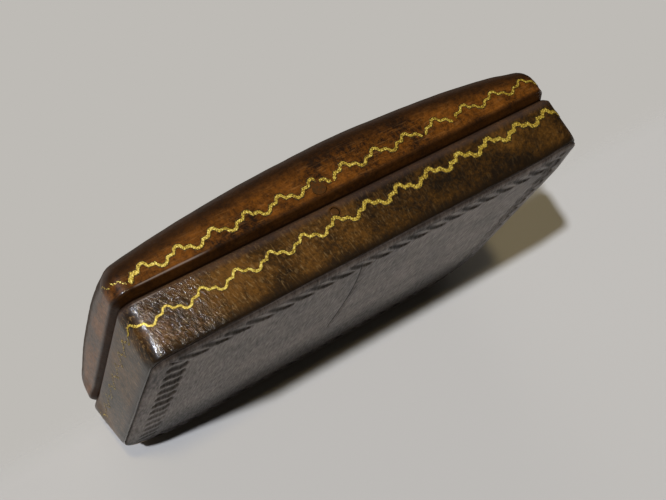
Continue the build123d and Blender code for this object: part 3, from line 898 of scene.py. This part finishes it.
class SNUFFBOX_OT_lid_cover(bpy.types.Operator):
    """Make the leather moulded over the domed lid"""

    bl_idname = "snuffbox.lid_cover"
    bl_label = "Lid Cover"

    def execute(self, context):
        sizes = context.scene.snuffbox_covers
        low, high = LID_LOW.z, LID_HIGH.z
        bevel = low + sizes.lid_bevel
        piece = blank("lid_cover", low, sizes)
        raise_walls(high - low)
        turn_edge(piece, high, sizes.lid_edge, 8)
        turn_edge(piece, low, sizes.lid_bevel, 1)
        open_end(piece, low, sizes.thickness + TURNED_IN)
        give_thickness(piece, sizes.thickness)
        turn_edge(piece, bevel, sizes.edge_turn, 3)
        turn_edge(piece, low, sizes.edge_turn, 2)
        hole = front_hole(RIVET_LOW, RIVET_HIGH)
        cut_away(piece, hinge_cutters(Vector((LID_LEAF_LOW.x, LID_LEAF_LOW.y, low - MM)), LID_LEAF_HIGH) + [hole])
        net(sizes.cell, np.arange(bevel + sizes.side_cell, high - sizes.lid_edge, sizes.side_cell))
        switch("OBJECT")
        paint_level_and_highlight(piece.data, bevel + 0.15 * MM, -41.5, -27.0)
        set_points(piece.data, crowned(points_of(piece.data), sizes))
        work_surface(piece, sizes)
        finish_cover(piece, sizes, leather("lid_calf", lid_look(context.scene.snuffbox_finishes)))
        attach(piece, "lid")
        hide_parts("lid_leather")
        return {"FINISHED"}


def crowned(points, sizes):
    """Points of the flat lid, after it is bent into its double curve."""
    along = (HALF_LENGTH**2 + sizes.length_crown**2) / (2 * sizes.length_crown)
    across = (HALF_WIDTH**2 + sizes.width_crown**2) / (2 * sizes.width_crown)
    drop = along - np.sqrt(along**2 - points[:, 0] ** 2) + across - np.sqrt(across**2 - points[:, 1] ** 2)
    drop -= sizes.lean * points[:, 0] / HALF_LENGTH
    edge = LID_HIGH.z - sizes.lid_edge
    share = np.clip((points[:, 2] - sizes.crown_foot) / (edge - sizes.crown_foot), 0, 1)
    bent = points.copy()
    bent[:, 2] -= drop * share
    return bent


# A gold line's wave over half a period: shares of the period, and the height there as a share of the wave's height
WAVE_PLACES = (0.0, 0.07, 0.115, 0.15, 0.2, 0.29, 0.335, 0.385, 0.435, 0.5)
WAVE_HEIGHTS = (1.0, 0.8, 0.4, 0.08, 0.0, 0.0, -0.14, -0.6, -0.9, -1.0)


def wave(phase):
    """The height of a gold line's wave at a share of its period: crest, ledge and valley."""
    return np.interp(np.abs((phase + 0.5) % 1 - 0.5), WAVE_PLACES, WAVE_HEIGHTS)


class SNUFFBOX_OT_gold_lines(bpy.types.Operator):
    """Make the two gold tooled lines round the base and the lid"""

    bl_idname = "snuffbox.gold_lines"
    bl_label = "Gold Lines"

    def execute(self, context):
        sizes = context.scene.snuffbox_covers
        gilding = gold_leaf(context.scene.snuffbox_finishes)
        end = loop_length(box_loop(sizes)) / 2 / MM
        for body, line in (("base", base_line(end)), ("lid", lid_line(end))):
            piece = gold_line(f"gold_line_{body}", line, sizes, context.scene.snuffbox_tooling)
            dress(piece, gilding)
            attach(piece, body)
        return {"FINISHED"}


def spread(places, values):
    """A value round the whole outline, from its values at places in millimetres from the middle of the front."""
    return lambda along: np.interp(along / MM, places, values)


def base_line(end):
    """The base's gold line: its crests, level, width, how much gold is left and how dull it is, round the outline."""
    return {
        "first": -38.5 * MM,
        "pitch": 6.2 * MM,
        "growth": 0.03125 * MM,
        "level": spread(
            (-end, -80, -46, -38, -16, 0, 20, 38, 43, 80, end),
            (7.4, 7.6, 7.1, 6.9, 7.3, 7.55, 7.85, 8.0, 7.75, 7.9, 7.4),
        ),
        "width": spread(
            (-end, -60, -38, -16, 0, 20, 42, 60, end),
            (0.6, 0.5, 0.56, 0.7, 0.98, 1.1, 1.12, 0.75, 0.65),
        ),
        "left": spread(
            (-end, -98, -94, -60, -47, -43.6, -43, 42, 44, 60, 100, end),
            (0.75, 0.7, 0.5, 0.5, 0.55, 0.65, 0.95, 0.95, 0.72, 0.75, 0.75, 0.75),
        ),
        "fading": spread((-end, -60, -47, -43, -26, -8, end), (0.09, 0.16, 0.14, 0.0, 0.01, 0.07, 0.09)),
    }


def lid_line(end):
    """The lid's gold line, which is rubbed away in four short places of the front."""
    return {
        "first": -38.4 * MM,
        "pitch": 6.25 * MM,
        "growth": 0.025 * MM,
        "level": spread(
            (-end, -80, -46, -13, 0, 13, 20, 34, 46, 80, end),
            (14.9, 14.4, 14.5, 14.95, 15.3, 15.3, 15.5, 15.4, 15.0, 14.8, 14.9),
        ),
        "width": spread(
            (-end, -60, -41.4, -41.2, -39.6, -39, 0, 20, 42, 60, end),
            (0.55, 0.5, 0.55, 1.1, 1.1, 0.72, 0.84, 0.74, 0.62, 0.6, 0.6),
        ),
        "left": spread(
            (-end, -98, -94, -48, -43, -41.4, -41.2, -6.0, -5.8, -5.3, -5.1, -3.5, -3.3, -3.0, -2.8)
            + (16.2, 16.4, 16.9, 17.1, 23.2, 23.4, 24.1, 24.3, 42, 44, 100, end),
            (0.75, 0.6, 0.3, 0.4, 0.5, 0.4, 0.95, 0.95, 0.3, 0.3, 0.9, 0.9, 0.2, 0.2, 0.9)
            + (0.9, 0.25, 0.25, 0.9, 0.9, 0.1, 0.1, 0.9, 0.85, 0.65, 0.7, 0.75),
        ),
        "fading": spread((-end, -60, -47, -40, -26, -8, end), (0.09, 0.16, 0.14, 0.02, 0.04, 0.08, 0.1)),
    }


def gold_line(name, line, sizes, tooling):
    """One gold line: a thin strip laid along the outline, waving up and down."""
    loop = box_loop(sizes)
    reach = loop_length(loop)
    deselect()
    bpy.ops.mesh.primitive_grid_add(x_subdivisions=round(reach / tooling.gold_step), y_subdivisions=4, size=1)
    piece = bpy.context.object
    piece.name = piece.data.name = name
    grid = points_of(piece.data)
    along = grid[:, 0] * reach
    side = grid[:, 1] * 2
    crest = (along - line["first"]) / line["pitch"]
    in_front = np.abs(along) < FRONT_REACH
    phase = crest - line["growth"] / line["pitch"] * crest**2 * in_front
    phase = np.where(in_front, phase, along / reach * round(reach / line["pitch"]) + START_BEYOND)
    slope = (wave(phase + 0.01) - wave(phase - 0.01)) / 0.02 * tooling.wave_height / line["pitch"]
    ragged = np.array([noise.noise(Vector((s, 0, 0)) / TEAR) for s in along])
    width = line["width"](along) * MM * (1 + TEAR_SHARE * ragged)
    level = line["level"](along) * MM + wave(phase) * tooling.wave_height
    height = level + side * width / 2 * np.minimum(np.sqrt(1 + slope**2), STEEPEST)
    points = np.empty_like(grid)
    for i, (s, z, v) in enumerate(zip(along, height, side)):
        x, y, out_x, out_y = loop_place(s, loop)
        stand = tooling.gold_stand * (1.4 - v * v) + unevenness((x, y, z), sizes)
        points[i] = (x + out_x * stand, y + out_y * stand, z)
    set_points(piece.data, settled(points, sizes))
    paint_attribute(piece.data, "gilt", line["left"](along))
    paint_attribute(piece.data, "fading", line["fading"](along))
    switch("EDIT")
    bpy.ops.mesh.select_all(action="SELECT")
    bpy.ops.mesh.flip_normals()
    switch("OBJECT")
    give_thickness(piece, tooling.gold_leaf)
    finish_shading(piece, 1.0)
    return piece


def gold_leaf(finishes):
    """Gold leaf tooled with a heated wheel: bright grains, dark in its pressed edges, and rubbed away in specks."""
    material, put = new_material("tooled_gold_leaf")
    place = put("TexCoord", out="Object")
    speck = put("TexNoise", {"Vector": place, "Scale": SPECKS, "Detail": 3.0, "Roughness": 0.8})
    gilt, fading = (put("Attribute", out="Fac", attribute_name=what) for what in ("gilt", "fading"))
    across = put("SeparateXYZ", (put("UVMap", uv_map="UVMap"),), out="Y")
    middle = put("Math", (across, 0.5), operation="SUBTRACT")
    off = put("Math", (middle,), operation="ABSOLUTE")
    edge = put("MapRange", (off, 0.25, 0.5, 0.0, 0.4))
    wear = put("Math", (speck, edge), operation="ADD")
    left = put("Math", (gilt, wear), operation="SUBTRACT")
    cover = put("MapRange", (left, 0.0, 0.12), interpolation_type="SMOOTHSTEP")
    dulled = put("Math", (wear, fading), operation="ADD")
    fresh = put("Math", (1.0, dulled), operation="SUBTRACT")
    thin = [(0.2, finishes.gold_pressed), (0.36, finishes.gold_deep)]
    shade = put("ValToRGB", (fresh,), [*thin, (0.47, finishes.gold), (0.58, finishes.gold_bright)])
    bump = put("Bump", {"Height": speck, "Strength": 1.0, "Distance": 0.09 * MM})
    skin = {"Base Color": shade, "Metallic": 0.4, "Roughness": 0.42, "Alpha": cover, "Normal": bump}
    put("OutputMaterial", (put("BsdfPrincipled", skin),))
    return material


def wood(name, main, grain_colour, axis, ring):
    """Planed wood, left bare inside the leather: fine open grain along one axis, matt."""
    material, put = new_material(name)
    scale = [1 / ring] * 3
    scale[axis] = 1 / (ring * GRAIN_RUN)
    stretched = put("Mapping", {"Vector": put("TexCoord", out="Object"), "Scale": scale})
    rings = put("TexNoise", {"Vector": stretched, "Scale": 1.0, "Detail": 5.0, "Distortion": 0.4})
    fibres = put("TexNoise", {"Vector": stretched, "Scale": 4.0, "Detail": 2.0})
    shade = put("ValToRGB", (rings,), [(0.36, grain_colour), (0.62, main)])
    bump = put("Bump", {"Height": fibres, "Strength": 0.7, "Distance": 0.05 * MM})
    skin = {"Base Color": shade, "Roughness": 0.72, "IOR": 1.5, "Normal": bump}
    put("OutputMaterial", (put("BsdfPrincipled", skin),))
    return material


class SNUFFBOX_OT_woodwork(bpy.types.Operator):
    """Finish the boards and the strips"""

    bl_idname = "snuffbox.woodwork"
    bl_label = "Boards and Strips"

    def execute(self, context):
        look = context.scene.snuffbox_finishes
        # Limewood, sawn thin, planed and never polished: pale and matt, its fine brown grain along each board
        lime = ("limewood", look.wood, look.wood_grain, RING)
        # Pearwood, planed into thin strips: reddish brown and as matt, with a grain twice as fine
        pear = ("pearwood", look.strip, look.strip_grain, RING / 2)
        walls = ("base_front_wall", "base_back_wall", "lid_front_wall", "lid_back_wall")
        for (kind, main, grain, ring), way, axis, names in (
            (lime, "lengthways", 0, ("base_floor_board", "lid_top_board", *walls)),
            (lime, "crossways", 1, ("base_left_wall", "base_right_wall", "lid_left_wall", "lid_right_wall")),
            (lime, "upright", 2, ("base_corner_blocks", "lid_corner_blocks")),
            (pear, "lengthways", 0, ("neck_front", "back_liner")),
            (pear, "crossways", 1, ("neck_left", "neck_right")),
        ):
            dress_nodes(names, wood(f"{kind}_{way}", main, grain, axis, ring))
        return {"FINISHED"}


class SNUFFBOX_OT_linings(bpy.types.Operator):
    """Finish the paper linings"""

    bl_idname = "snuffbox.linings"
    bl_label = "Paper Linings"

    def execute(self, context):
        finishes = context.scene.snuffbox_finishes
        # Rag paper, laid by hand and glued in: matt, with fibres that just show, and soft brown stains of snuff
        material, put = new_material("aged_rag_paper")
        place = put("TexCoord", out="Object")
        stain = put("TexNoise", {"Vector": place, "Scale": STAINS, "Detail": 6.0, "Roughness": 0.6})
        fibre = put("TexNoise", {"Vector": place, "Scale": PAPER_FIBRES, "Detail": 3.0})
        shade = put("ValToRGB", (stain,), [(0.3, finishes.paper_stain), (0.66, finishes.paper)])
        bump = put("Bump", {"Height": fibre, "Strength": 0.5, "Distance": 0.04 * MM})
        skin = {"Base Color": shade, "Roughness": 0.9, "IOR": 1.5, "Normal": bump}
        put("OutputMaterial", (put("BsdfPrincipled", skin),))
        dress_nodes(("base_floor_lining", "lid_lining"), material)
        return {"FINISHED"}


def metal(name, bright, dark, roughness, patch, share, bare=1.0, shine=0.5):
    """Sheet or drawn metal with tarnish in soft patches, or under a skin of wax and dirt where less is bare."""
    material, put = new_material(name)
    place = put("TexCoord", out="Object")
    tarnish = put("TexNoise", {"Vector": place, "Scale": 1 / patch, "Detail": 5.0, "Roughness": 0.65})
    amount = put("ValToRGB", (tarnish,), [(share - 0.12, 1.0), (share + 0.12, 0.0)])
    shade = put("Mix", {"Factor": amount, "A": four(bright), "B": four(dark)}, data_type="RGBA")
    gloss = put("Math", (amount, 0.25, roughness), operation="MULTIPLY_ADD")
    bump = put("Bump", {"Height": tarnish, "Strength": 0.3, "Distance": 0.03 * MM})
    skin = {"Base Color": shade, "Metallic": bare, "Roughness": gloss, "Specular IOR Level": shine, "Normal": bump}
    put("OutputMaterial", (put("BsdfPrincipled", skin),))
    return material


class SNUFFBOX_OT_metalwork(bpy.types.Operator):
    """Finish the hinge, the catch and its spring"""

    bl_idname = "snuffbox.metalwork"
    bl_label = "Hinge and Catch"

    def execute(self, context):
        look = context.scene.snuffbox_finishes
        # Rolled brass sheet and drawn wire, never polished again: a soft shine under brown tarnish
        brass = metal("rolled_brass", look.brass, look.brass_dark, 0.34, 1.6 * MM, 0.44)
        # The same brass where the leather's wax and dye went over it: brown, with little metal left bare
        browned = metal("browned_brass", look.browned, look.base_leather, 0.42, 0.7 * MM, 0.5, bare=0.3, shine=0.2)
        # A rivet's head under the lid's wax: as brown and as dull as the leather round it
        waxed = metal("waxed_rivet", look.lid_leather, look.base_leather, 0.5, 0.6 * MM, 0.5, bare=0.0, shine=0.14)
        # Spring steel, blued by heat: dark blue-grey, smooth
        steel = metal("blued_steel", look.steel, look.base_dark, 0.28, 1.2 * MM, 0.38)
        hinge = ("base_hinge_leaf", "lid_hinge_leaf", "hinge_pin", "base_hinge_nails", "lid_hinge_nails")
        dress_nodes((*hinge, "keeper_plate", "catch_plate"), brass)
        dress_nodes(("button_bush", "push_button"), browned)
        dress_nodes(("keeper_rivet",), waxed)
        dress_nodes(("catch_spring",), steel)
        return {"FINISHED"}


# The camera's place and directions, and what it sees between
CAMERA_PLACE = Vector((-81.478, -178.664, -32.268)) * MM
CAMERA_LOOK = Vector((0.42432, 0.87997, 0.21357))
CAMERA_RIGHT = Vector((0.80496, -0.25854, -0.53404))
SENSOR = 36.0
NEAREST, FARTHEST = 0.01, 20
# The lamps: the way towards each, how wide it looks in radians, and its colour
KEY = (Vector((-0.484, -0.874, 0.058)), 0.04, "#ecf2ff")
FILL = (Vector((-0.16, -0.985, 0.064)), 0.08, "#ffe9b2")
OVERHEAD = (Vector((0.05, 0.1, 1.0)), 0.5, "#ffffff")
# The floor and the backdrop: their width, and how far they are from the box
SHEET_SIZE = 4.0
FLOOR_GAP = 0.2 * MM
BACKDROP_GAP = 0.15 * MM
# Where the backdrop ends: from which height to which, and how far away in metres
BACKDROP_TOP = (6 * MM, 14 * MM)
BACKDROP_REACH = (0.12, 0.4)


class SNUFFBOX_OT_stage(bpy.types.Operator):
    """Make the pale floor, the backdrop, the lights and the camera"""

    bl_idname = "snuffbox.stage"
    bl_label = "Stage"

    def execute(self, context):
        stage = context.scene.snuffbox_stage
        finishes = context.scene.snuffbox_finishes
        self.floor(finishes)
        self.backdrop(finishes)
        self.world(context.scene, finishes, stage.room)
        self.lamp("Key", stage.key, *KEY)
        self.lamp("Fill", stage.fill, *FILL)
        self.lamp("Overhead", stage.overhead, *OVERHEAD).visible_glossy = False
        data = bpy.data.cameras.new("Camera")
        data.lens = stage.lens
        data.sensor_width = SENSOR
        data.clip_start, data.clip_end = NEAREST, FARTHEST
        camera = bpy.data.objects.new("Camera", data)
        context.scene.collection.objects.link(camera)
        up = CAMERA_RIGHT.cross(CAMERA_LOOK)
        turn = Matrix((CAMERA_RIGHT, up, -CAMERA_LOOK)).transposed().to_4x4()
        camera.matrix_world = Matrix.Translation(CAMERA_PLACE) @ turn
        context.scene.camera = camera
        context.scene.view_settings.view_transform = "Standard"
        return {"FINISHED"}

    def lamp(self, name, strength, way, angle, code):
        """A soft distant lamp, which is returned."""
        data = bpy.data.lights.new(name, "SUN")
        data.energy = strength
        data.angle = angle
        data.color = linear(code)
        lamp = bpy.data.objects.new(name, data)
        lamp.rotation_mode = "QUATERNION"
        lamp.rotation_quaternion = way.to_track_quat("Z", "Y")
        bpy.context.scene.collection.objects.link(lamp)
        return lamp

    def sheet(self, name, place, turn):
        """A large flat sheet of the stage."""
        deselect()
        bpy.ops.mesh.primitive_plane_add(size=SHEET_SIZE, location=place, rotation=turn)
        sheet = bpy.context.object
        sheet.name = name
        bpy.ops.object.transform_apply(location=True, rotation=True, scale=True)
        return sheet

    def floor(self, finishes):
        """The floor that the box rests on. Only the camera sees it, and only from above."""
        floor = self.sheet("floor", (0, 0, -FLOOR_GAP), (0, 0, 0))
        material, put = new_material("pale_floor")
        by_camera = put("LightPath", out="Is Camera Ray")
        behind = put("NewGeometry", out="Backfacing")
        above = put("Math", (1.0, behind), operation="SUBTRACT")
        shown = put("Math", (above, by_camera), operation="MULTIPLY")
        clear = put("Math", (1.0, shown), operation="SUBTRACT")
        self.finish_sheet(floor, material, put, clear, finishes.floor)

    def backdrop(self, finishes):
        """The sheet behind the box's back, seen from the front only. It ends low, so that the lid can open."""
        sheet = self.sheet("backdrop", (0, HALF_WIDTH + BACKDROP_GAP, 0), (pi / 2, 0, 0))
        material, put = new_material("pale_backdrop")
        in_shadow = put("LightPath", out="Is Shadow Ray")
        behind = put("NewGeometry", out="Backfacing")
        place = behind.node.outputs["Position"]
        height = put("SeparateXYZ", (put("TexCoord", out="Object"),), out="Z")
        distance = put("VectorMath", (place,), operation="LENGTH")
        high, far = (
            put("MapRange", (value, *limits), interpolation_type="SMOOTHSTEP")
            for value, limits in ((height, BACKDROP_TOP), (distance, BACKDROP_REACH))
        )
        either = put("Math", (behind, in_shadow), operation="MAXIMUM")
        open_place = put("Math", (high, far), operation="MAXIMUM")
        clear = put("Math", (either, open_place), operation="MAXIMUM")
        self.finish_sheet(sheet, material, put, clear, finishes.sheet)

    def finish_sheet(self, sheet, material, put, clear, shade):
        """Plain matt stuff, see-through where clear is 1."""
        matt = put("BsdfDiffuse", {"Color": four(shade)})
        through = put("BsdfTransparent")
        put("OutputMaterial", (put("MixShader", (clear, matt, through)),))
        dress(sheet, material)

    def world(self, scene, finishes, brightness):
        """A warm room, lit from above. The camera, and polish that faces the backdrop, see a pale background."""
        world = bpy.data.worlds.new("Room")
        scene.world = world
        world.use_nodes = True
        world.node_tree.nodes.clear()
        put = partial(add_node, world.node_tree)
        rays = put("LightPath").node.outputs
        x, y, z = put("SeparateXYZ", (put("TexCoord", out="Generated"),)).node.outputs
        # Parts of the room, by the direction in it: from where to where each becomes full, and how full it becomes
        above, behind, low, high, leftwards = (
            put("MapRange", (value, first, last, 0.0, most), interpolation_type="SMOOTHSTEP")
            for value, first, last, most in (
                (z, 0.7, 1.0, 1.0),
                (y, -0.25, 0.25, 1.0),
                (z, 0.15, -0.05, 1.0),
                (z, 0.5, 0.85, 0.4),
                (x, -0.04, -0.14, 1.0),
            )
        )
        rear = put("MapRange", (y, 0.02, 0.3, 0.0, 0.7))
        lit = put("Math", (above, rear), operation="MAXIMUM")
        level = put("Math", (lit, brightness, 0.02), operation="MULTIPLY_ADD")
        room = put("Background", ((1.0, 0.95, 0.84, 1.0), level))
        either = put("Math", (low, high), operation="MAXIMUM")
        any_way = put("Math", (either, leftwards), operation="MAXIMUM")
        mirrored = put("Math", (behind, any_way), operation="MULTIPLY")
        dim = put("Background", ((1.0, 0.8, 0.5, 1.0), 0.03))
        pale = put("Background", (four(finishes.backdrop), 1.0))
        shine = put("MixShader", (mirrored, dim, pale))
        gloss = put("MixShader", (rays["Is Glossy Ray"], room, shine))
        seen = put("Math", (rays["Is Camera Ray"], rays["Is Transmission Ray"]), operation="MAXIMUM")
        put("OutputWorld", (put("MixShader", (seen, gloss, pale)),))


OPERATORS = (
    SNUFFBOX_OT_panel,
    SNUFFBOX_OT_base_cover,
    SNUFFBOX_OT_lid_cover,
    SNUFFBOX_OT_gold_lines,
    SNUFFBOX_OT_woodwork,
    SNUFFBOX_OT_linings,
    SNUFFBOX_OT_metalwork,
    SNUFFBOX_OT_stage,
)


class SNUFFBOX_PT_sidebar(bpy.types.Panel):
    """The box's pieces, in the sidebar"""

    bl_label = "Snuff Box"
    bl_idname = "SNUFFBOX_PT_sidebar"
    bl_space_type = "VIEW_3D"
    bl_region_type = "UI"
    bl_category = "Snuff Box"

    def draw(self, context):
        for operator in OPERATORS:
            self.layout.operator(operator.bl_idname)


SETTINGS = {
    "snuffbox_covers": CoverSizes,
    "snuffbox_tooling": ToolingSizes,
    "snuffbox_finishes": Finishes,
    "snuffbox_stage": Stage,
}
CLASSES = (*SETTINGS.values(), *OPERATORS, SNUFFBOX_PT_sidebar)


def register():
    """Adds the classes and the settings that the operators read."""
    for each in CLASSES:
        bpy.utils.register_class(each)
    for name, group in SETTINGS.items():
        setattr(bpy.types.Scene, name, PointerProperty(type=group))


def unregister():
    """Takes them away again."""
    for name in SETTINGS:
        delattr(bpy.types.Scene, name)
    for each in reversed(CLASSES):
        bpy.utils.unregister_class(each)


def main():
    """Builds the looks."""
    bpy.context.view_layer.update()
    register()
    bpy.ops.snuffbox.panel()
    bpy.ops.snuffbox.base_cover()
    bpy.ops.snuffbox.lid_cover()
    bpy.ops.snuffbox.gold_lines()
    bpy.ops.snuffbox.woodwork()
    bpy.ops.snuffbox.linings()
    bpy.ops.snuffbox.metalwork()
    bpy.ops.snuffbox.stage()
    bpy.context.view_layer.update()


if __name__ == "__main__":
    main()
